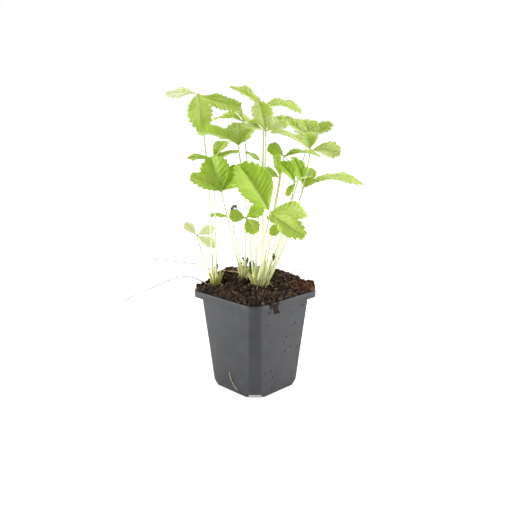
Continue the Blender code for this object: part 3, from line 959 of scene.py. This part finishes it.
# One leaflet: a grid whose rows follow the side veins from the midrib to the
# teeth, thickened, folded, arched and turned to its place on the plant. Its first
# rows are the leaflet's own short stalk.
STALK_SHARE = 0.09
STALK_HALF = 0.00045
STALK_THICK = 0.0005
TOOTH_PEAK = 0.72
VEIN_LAG = 0.8
PLEAT_DEPTH = -0.058
GROOVE_DEPTH = -0.05
CUP_DEPTH = -0.18
blade = Growth(
    "strawberry_leaflet",
    ("Hub", "Vector", None), ("Turn", "Vector", None), ("Length", "Float", 0.03), ("Width", "Float", 0.02),
    ("Fold", "Float", 0.3), ("Bend", "Float", 0.5), ("Twist", "Float", 0.0), ("Teeth", "Float", 8.0),
    ("Tooth Height", "Float", 0.05), ("Wave", "Float", 0.02), ("Rumple", "Float", 0.08),
    ("Phase", "Float", 0.0), ("Tone And Painted Light", "Float", 0.5), ("Stalk Length", "Float", 0.003),
    ("Stalk Start", "Float", 0.0005), ("Thickness", "Float", 0.00035), ("Rows", "Int", 97),
    ("Columns", "Int", 19), ("Upper", "Material", None), ("Under", "Material", None))
given, calc = blade.given, blade.calc
length, stalk_length, phase = given("Length"), given("Stalk Length"), given("Phase")
sizes = {"Size X": 1.0, "Size Y": 2.0, "Vertices X": given("Rows"), "Vertices Y": given("Columns")}
grid = blade.get("GeometryNodeMeshGrid", sizes)
along, across, _ = blade.split(blade.position())
along = along + 0.5
outward_share = abs(across)
on_stalk = calc("LESS_THAN", along, STALK_SHARE)
row = calc("MAXIMUM", (along - STALK_SHARE) / (1.0 - STALK_SHARE), 0.0)
stalk_row = calc("MINIMUM", along / STALK_SHARE, 1.0)
# Teeth: a saw edge, each tooth leaning to the tip, lowest at both ends.
count = row * given("Teeth")
tooth = calc("FRACT", count)
saw = calc("MINIMUM", tooth / TOOTH_PEAK, (1.0 - tooth) / (1.0 - TOOTH_PEAK)) ** 0.75
soft_ends = calc("MINIMUM", row * 5.0, 1.0)
saw = (saw - 0.35) * given("Tooth Height") * (soft_ends * length)
near_edge = outward_share ** 5.0
# Outline: the midrib's rows lag behind, so that the side veins slant forward.
edge = calc("MULTIPLY_ADD", row ** 0.9, 0.94, 0.04)
lag = row * (1.0 - row) * VEIN_LAG * length
half = calc("SINE", edge ** 1.2 * math.pi) ** 0.72 * 0.5 * given("Width")
half = calc("MAXIMUM", half, STALK_HALF)
half = calc("MULTIPLY_ADD", on_stalk, STALK_HALF - half, half)
x = calc("MULTIPLY_ADD", edge * length - lag, calc("GREATER_THAN", row, 0.0), stalk_row * stalk_length)
x = calc("MULTIPLY_ADD", lag, outward_share, x)
x = calc("MULTIPLY_ADD", saw * 0.8, near_edge, x)
y = across * calc("MULTIPLY_ADD", saw, near_edge, half)
# Height: the fold, pleats between the veins, the midrib's groove, an edge that
# ripples, a shallow cup and a broad rumple.
wide = half * outward_share
fold = wide * calc("TANGENT", given("Fold"))
pleat = calc("COSINE", (tooth - TOOTH_PEAK) * (2 * math.pi))
pleat = pleat * (outward_share * (1.08 - outward_share) * (half * PLEAT_DEPTH))
groove = calc("EXPONENT", (outward_share * 9.0) ** 2.0 * -1.0) * (half * GROOVE_DEPTH)
ripple = calc("SINE", row * 9.0 + (phase + across * 1.3))
ripple = ripple * given("Wave") * (outward_share * outward_share * length)
cup = wide * outward_share * CUP_DEPTH
rumple = clouds(blade, blade.vector(row * 2.6, across * 1.1, phase), 1.0, 2.0) - 0.5
rumple = rumple * (given("Rumple") * length * (soft_ends * outward_share))
rise = fold + pleat + (groove + ripple) + (cup + rumple)
# Twist about the midrib, then bend along it.
twist = given("Twist") * (x / (length + stalk_length))
cosine, sine = calc("COSINE", twist), calc("SINE", twist)
y_turned = y * cosine - rise * sine
rise = y * sine + rise * cosine
curl = given("Bend") / (length + stalk_length)
angle = curl * x
cosine, sine = calc("COSINE", angle), calc("SINE", angle)
reach = sine / curl + rise * sine + given("Stalk Start")
drop = rise * cosine - (1.0 - cosine) / curl
sheet = blade.store(grid, "leaf_map", blade.vector(count, across, 0.0), "FLOAT_VECTOR")
sheet = blade.store(sheet, "thick", calc("MULTIPLY_ADD", on_stalk, STALK_THICK, given("Thickness")))
# The tone kept on the sheet; for the leaflets it is partly painted light.
sheet = blade.store(sheet, "leaf_tone_and_painted_light", given("Tone And Painted Light"))
bent = {"Geometry": sheet, "Position": blade.vector(reach, y_turned, drop)}
sheet = blade.get("GeometryNodeSetPosition", bent)
turned = {"Geometry": sheet, "Translation": given("Hub"), "Rotation": given("Turn")}
sheet = blade.get("GeometryNodeTransform", turned)
# The sheet itself, turned over, is the underside; the upper side is raised from it.
below = blade.store(sheet, "is_under", True, "BOOLEAN", "FACE")
below = blade.get("GeometryNodeFlipFaces", {"Mesh": below})
raised = {"Mesh": sheet, "Offset Scale": blade.stored("thick", "FLOAT"), "Individual": False}
above = blade.get("GeometryNodeExtrudeMesh", raised, mode="FACES")
both = {"Geometry": blade.gather(below, above), "Distance": 1e-6}
both = blade.shade_smooth(blade.get("GeometryNodeMergeByDistance", both))
blade.finish(both, (given("Upper"), None), (given("Under"), blade.stored("is_under")))

# One petiole: a path thickened to a tapering round stem, clothed in fine hairs.
PETIOLE_FLARE = 0.0003
PETIOLE_KNOB = 0.00025
stalk = Growth(
    "hairy_petiole",
    ("Foot Radius", "Float", 0.001), ("Head Radius", "Float", 0.0007), ("Hair Density", "Float", 100000.0),
    ("Hair Length", "Float", 0.0009), ("Seed", "Int", 1),
    ("Skin", "Material", None), ("Hair", "Material", None))
given, calc = stalk.given, stalk.calc
path = stalk.get("GeometryNodeMeshToCurve", {"Mesh": given("Geometry")})
path = stalk.get("GeometryNodeResampleCurve", {"Curve": path, "Count": 26})
climb = stalk.get("GeometryNodeSplineParameter", out="Factor")
path = stalk.store(path, "along", climb)
foot_radius = given("Foot Radius")
radius = calc("MULTIPLY_ADD", climb, given("Head Radius") - foot_radius, foot_radius)
flare = (1.0 - climb) ** 14.0 * PETIOLE_FLARE
radius = radius + (flare + climb ** 40.0 * PETIOLE_KNOB)
skin = stalk.rod(path, radius, 12)
spots, upright = stalk.scatter(skin, given("Hair Density"), given("Seed"))
cone = {"Vertices": 3, "Side Segments": 1, "Radius Top": 0.0, "Radius Bottom": 0.035, "Depth": 1.0}
spike = stalk.get("GeometryNodeMeshCone", cone, fill_type="NONE")
lean = stalk.roll(31, (-0.5, -0.5, 0.0), (0.5, 0.5, 0.0))
aim = stalk.get("FunctionNodeRotateRotation", {0: upright, 1: lean}, rotation_space="LOCAL")
hairs = stalk.realize(stalk.set_out(spots, spike, aim, given("Hair Length")))
hairs = stalk.store(hairs, "is_hair", True, "BOOLEAN")
stalk.finish(stalk.gather(hairs, skin), (given("Skin"), None), (given("Hair"), stalk.stored("is_hair")))


def polar(heading, reach, height=0.0):
    """A place given by its heading and distance from the pot's middle."""
    angle = math.radians(heading)
    return Vector((reach * math.cos(angle), reach * math.sin(angle), height))


def make_leaflet(name, hub, spec, number, tone, skins=(top_mat, under_mat),
                 start=0.5, teeth=None, twist=0.0, grid=FINE_GRID):
    """One leaflet as plain mesh; its tip lies where the frame's leaflet ends."""
    heading, pitch, bend, roll, length, width, fold = spec
    values = {
        "Hub": hub * MM,
        "Turn": (math.radians(roll), math.radians(-pitch), math.radians(heading)),
        "Length": (length + TIP_REACH - start - STALK_LENGTH) * MM,
        "Width": width * MM,
        "Fold": math.radians(fold + FOLD_MORE),
        "Bend": math.radians(bend),
        "Twist": twist or 0.22 * math.sin(number * 12.9),
        "Teeth": float(teeth or max(4, round(length * TEETH_PER_MM))),
        "Tooth Height": 0.045 + 0.25 / length,
        "Wave": EDGE_WAVE,
        "Rumple": RUMPLE,
        "Phase": number * 1.7,
        "Tone And Painted Light": tone,
        "Stalk Length": STALK_LENGTH * MM,
        "Stalk Start": start * MM,
        "Thickness": BLADE_THICK * MM,
        "Rows": grid[0],
        "Columns": grid[1],
        "Upper": skins[0],
        "Under": skins[1],
    }
    return grow(empty_mesh(name), blade, values)


def make_stem(name, points, foot, head, seed, skin, hair=hair_mat, hairs=0.0, hair_length=HAIR_LENGTH):
    """A round stem through points, tapering from foot to head."""
    values = {
        "Foot Radius": foot * MM, "Head Radius": head * MM, "Hair Density": hairs,
        "Hair Length": hair_length * MM, "Seed": seed, "Skin": skin, "Hair": hair,
    }
    return grow(empty_mesh(name, points), stalk, values)


def crown_height(key):
    """The level of the soil where a clump stands."""
    cx, cy, _ = CROWNS[key]
    return heap_height(cx, cy)


def make_petiole(name, spec, number):
    """A petiole that leaves its clump, bows and ends at the leaf's hub."""
    crown, heading, reach, lean, hub, _ = spec
    cx, cy, _ = CROWNS[crown]
    foot = Vector((cx, cy, crown_height(crown) + FOOT_LIFT)) + polar(heading, reach)
    head = polar(*hub)
    bow = foot.lerp(head, lean)
    bow.z = foot.z + (0.75 - 0.5 * lean) * (head.z - foot.z)
    points = []
    for i in range(PATH_STEPS + 1):
        t = i / PATH_STEPS
        points.append(foot * (1 - t) ** 2 + bow * 2 * t * (1 - t) + head * t * t)
    return make_stem(name, points, PETIOLE_FOOT, PETIOLE_HEAD, number, stem_mat, hairs=HAIR_DENSITY)


for number, (name, spec) in enumerate(LEAVES.items()):
    stem = make_petiole(name + "_stem", spec, number)
    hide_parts(name + "_petiole")
    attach(stem, "root")
    for k, (letter, leaf) in enumerate(zip("abc", spec[5])):
        blade_name = f"{name}_blade_{letter}"
        twist = TWISTED.get(f"{name}_{letter}", 0.0)
        piece = make_leaflet(blade_name, polar(*spec[4]), leaf, number * 3 + k, LEAF_TONES_AND_PAINTED_LIGHT[name][k], twist=twist)
        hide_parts(f"{name}_leaflet_{letter}")
        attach(piece, "root")

# ---- young leaves ---------------------------------------------------------------
# Smaller, later leaves between the grown ones: the same build at half the size,
# their blades still part of the petiole.
# The sizes are in the same order as the grown leaves' ones.
YOUNG = {
    "young_01": ("left", 330, 3, 0.60, (230, 38, 220), (
        (225, 10, 15, -15, 20, 12, 15),
        (60, 25, 15, 20, 20, 14, 15),
        (100, 55, 45, 15, 24, 14, 20))),
    "young_02": ("mid", 330, 3, 0.40, (300, 31, 170), (
        (245, 15, 15, -60, 11, 12, 10),
        (45, 35, 20, 70, 13, 13, 10),
        (345, -30, 25, 30, 14, 14, 10))),
    "young_03": ("mid", 170, 3, 0.50, (195, 26, 163), (
        (240, 15, 20, -10, 18, 10, 20),)),
    "young_04": ("left", 170, 3, 0.60, (195, 68, 142), (
        (205, 45, 20, -50, 14, 10, 10),
        (65, 25, 20, 50, 16, 10, 10),
        (20, -20, 20, 50, 18, 10, 10))),
    "young_05": ("main", 325, 6, 0.60, (0, 32, 165), (
        (255, 25, 20, -60, 9, 8, 10),
        (15, -30, 20, 40, 14, 13, 10),
        (285, -30, 20, -20, 12, 10, 10))),
    "young_06": ("main", 30, 6.5, 0.60, (30, 38, 200), (
        (215, 60, 30, -40, 19, 17, 20),
        (20, 30, 20, 0, 12, 10, 15),
        (280, -35, 20, 20, 12, 10, 15))),
    "young_07": ("main", 50, 3, 0.50, (50, 27, 223), (
        (250, 35, 30, -60, 13, 14, 15),
        (40, -50, 20, 0, 20, 10, 20),
        (60, 20, 50, 20, 34, 14, 20))),
    "young_08": ("main", 130, 6, 0.50, (75, 27, 202), (
        (165, 75, 10, 10, 20, 10, 15),
        (240, 30, 20, -50, 14, 10, 15))),
    "young_09": ("main", 200, 6, 0.50, (100, 12, 216), (
        (225, 40, 20, -15, 14, 10, 15),)),
}

# Dark curls of the withered leaflet: heading, pitch, bend and length of each.
DRIED_CURLS = ((200, 30, 260, 9.0), (240, -20, -230, 8.0), (150, 75, 190, 8.0))
DRIED_AWAY = Vector((-8.0, -3.5, 5.5))
SEED_AFTER_LEAVES = 40
SHAPE_AFTER_LEAVES = 50
dried_mat = leaf_material(
    "dried_leaflet", (0.07, 0.075, 0.04), (0.12, 0.13, 0.06), (0.22, 0.21, 0.10), (0.17, 0.16, 0.08),
    0.7, VEIN_RELIEF, 0.0)


def dried_leaflet(hub):
    """A withered leaflet on its sprig: a thin stalk that ends in dark curls."""
    tip = hub + DRIED_AWAY
    sag = hub.lerp(tip, 0.5) - Vector((0, 0, 1.5))
    path = smooth_path((hub, sag, tip), 5)
    parts = [make_stem("dried_stalk", path, 0.45, 0.35, 1, dried_mat)]
    for k, (heading, pitch, bend, long) in enumerate(DRIED_CURLS):
        spec = (heading, pitch, bend, 25, long, 2.4, 50)
        curl = make_leaflet("dried_curl", tip, spec, k, 0.4, (dried_mat, dried_mat), 0.1, 4, grid=(49, 9))
        parts.append(curl)
    return parts


for number, (name, spec) in enumerate(YOUNG.items()):
    hub = polar(*spec[4])
    parts = [make_petiole(name + "_stem", spec, number + SEED_AFTER_LEAVES)]
    for k, leaf in enumerate(spec[5]):
        shape = number * 3 + k + SHAPE_AFTER_LEAVES
        parts.append(make_leaflet(name + "_part", hub, leaf, shape, LEAF_TONES_AND_PAINTED_LIGHT[name][k]))
    if name == "young_02":
        parts += dried_leaflet(hub)
    sprig = join(name + "_sprig", parts)
    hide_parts(name)
    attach(sprig, "root")

# ---- crowns ---------------------------------------------------------------------
# Where the petioles leave the soil each clump is wrapped in thin pointed sheaths,
# with pale rootlets round its foot and short shoots that end in dark folded buds.
BUDS = {
    "main": ((-0.5, -0.5, 114.5), (2.5, 8.5, 113.0), (12.9, 12.9, 122.0)),
    "mid": ((-6.2, -6.2, 117.5), (-3.4, -3.4, 113.5)),
    "left": ((-35.0, -20.0, 108.0),),
}
LEAF_SPIRAL = 137.5
SHEATHS_PER_MM = 3
ROOTLETS_PER_MM = 1.6
SHEATH_SINK = 1.2
SHOOT_HAIRS = 60000.0
SHEATH_FOOT = 0.099
SHEATH_TIP = 0.119
SHEATH_TONES = (
    (0.0, (0.26, 0.22, 0.05)), (0.22, (0.52, 0.53, 0.12)),
    (0.6, (0.76, 0.78, 0.38)), (1.0, (0.66, 0.62, 0.32)),
)
SHEATH_STREAK = (0.34, 0.27, 0.10)
sheath_mat, nodes, shader = new_material("crown_sheath", 0.6, 0.3)
place = nodes.place()
height = nodes.get("ShaderNodeSeparateXYZ", {0: place}, "Z")
colour = ramp(nodes, nodes.remap(height, SHEATH_FOOT, SHEATH_TIP), *SHEATH_TONES)
streak = clouds(nodes, stretched(nodes, place, (1.0, 1.0, 0.15)), 900.0, 3.0)
colour = blend(nodes, nodes.remap(streak, 0.55, 0.8, 0.0, 0.5), colour, SHEATH_STREAK)
nodes.feed(shader["Base Color"], colour)
let_light_in(shader, 0.3, (0.9, 1.0, 0.3), 1.0)

bud_mat = leaf_material(
    "dark_bud", (0.06, 0.10, 0.015), (0.10, 0.16, 0.03), (0.20, 0.28, 0.07), (0.20, 0.26, 0.09),
    0.6, 0.3, 0.1)

for k, (key, (cx, cy, radius)) in enumerate(CROWNS.items()):
    dice = random.Random(20 + k)
    level = crown_height(key)
    parts = []
    for i in range(int(radius * SHEATHS_PER_MM)):
        turn = i * LEAF_SPIRAL
        out = radius * math.sqrt((i + 0.5) / (radius * SHEATHS_PER_MM))
        foot = Vector((cx, cy, level - SHEATH_SINK)) + polar(turn, out)
        long = dice.uniform(6.0, 13.0)
        pitch = 84 - dice.uniform(0, 14)
        spec = (turn, pitch, dice.uniform(-25, 30), dice.uniform(-40, 40), long, dice.uniform(1.6, 3.0), 40)
        sheath = make_leaflet("sheath", foot, spec, i, 0.5, (sheath_mat, sheath_mat), 0.1, 4, grid=(25, 7))
        parts.append(sheath)
    for i in range(int(radius * ROOTLETS_PER_MM)):
        turn = dice.uniform(0, 360)
        start = Vector((cx, cy, level + dice.uniform(0.5, 3.0))) + polar(turn, radius * 0.8)
        out = polar(turn + dice.uniform(-40, 40), dice.uniform(3.0, 7.0))
        knee = start + out * 0.5 + Vector((0, 0, dice.uniform(0.3, 2.0)))
        end = start + out - Vector((0, 0, start.z - level + 0.3))
        path = smooth_path((start, knee, end), 4)
        parts.append(make_stem("rootlet", path, 0.28, 0.16, i, rootlet_mat))
    for i, tip in enumerate(BUDS[key]):
        tip = Vector(tip)
        middle = Vector((cx, cy, level))
        foot = middle + (tip - middle) * 0.25
        foot.z = level
        path = smooth_path((foot, foot.lerp(tip, 0.5) + Vector((0, 0, 1.0)), tip), 5)
        parts.append(make_stem("shoot", path, 0.7, 0.45, i, stem_mat, hairs=SHOOT_HAIRS, hair_length=0.7))
        for side in (-1, 1):
            spec = (dice.uniform(0, 360), 70, 20 * side, 30 * side, 5.0, 2.6, 55)
            parts.append(make_leaflet("bud", tip, spec, i, 0.3, (bud_mat, bud_mat), 0.1, 4, grid=(33, 9)))
    crown = join("crown_sheaths_" + key, parts)
    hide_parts("crown_" + key)
    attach(crown, "root")

# ---- runners and straw ------------------------------------------------------------
# Thin dry runners hang over the rim on the left and stand up at the right, and a
# dry stalk lies on the soil.
RUNNERS = {
    "runner_left_high": (0.45, (
        (-33, -13, 102), (-45, -12, 106), (-60, -16, 112), (-78, -35, 116), (-96, -54, 119))),
    "runner_left_low": (0.55, (
        (-37, -30, 99), (-44, -32, 102), (-54, -38, 105), (-66, -46, 103), (-80, -58, 95), (-103, -81, 80))),
    "runner_right": (0.45, ((-2, 31, 105.5), (1, 40, 104), (6, 48, 106), (12, 55, 109))),
    "straw": (0.8, ((-39, -9, 109.0), (-26, -5, 109.6), (-20, -3, 109.4))),
}
TAPER = 0.8
runner_mat = streaked(
    "dry_runner", 0.65, 0.3, 260.0, 3.0, (0.35, (0.26, 0.17, 0.13)), (0.7, (0.52, 0.42, 0.34)))
straw_mat = streaked(
    "dry_straw", 0.7, 0.3, 1200.0, 2.0, (0.35, (0.30, 0.19, 0.10)), (0.7, (0.62, 0.46, 0.30)),
    (0.1, 1.0, 1.0))

for number, (name, (radius, points)) in enumerate(RUNNERS.items()):
    mat = straw_mat if name == "straw" else runner_mat
    piece = make_stem(name + "_stem", smooth_path(points, 6), radius, radius * TAPER, number, mat, mat)
    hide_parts(name)
    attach(piece, "root")
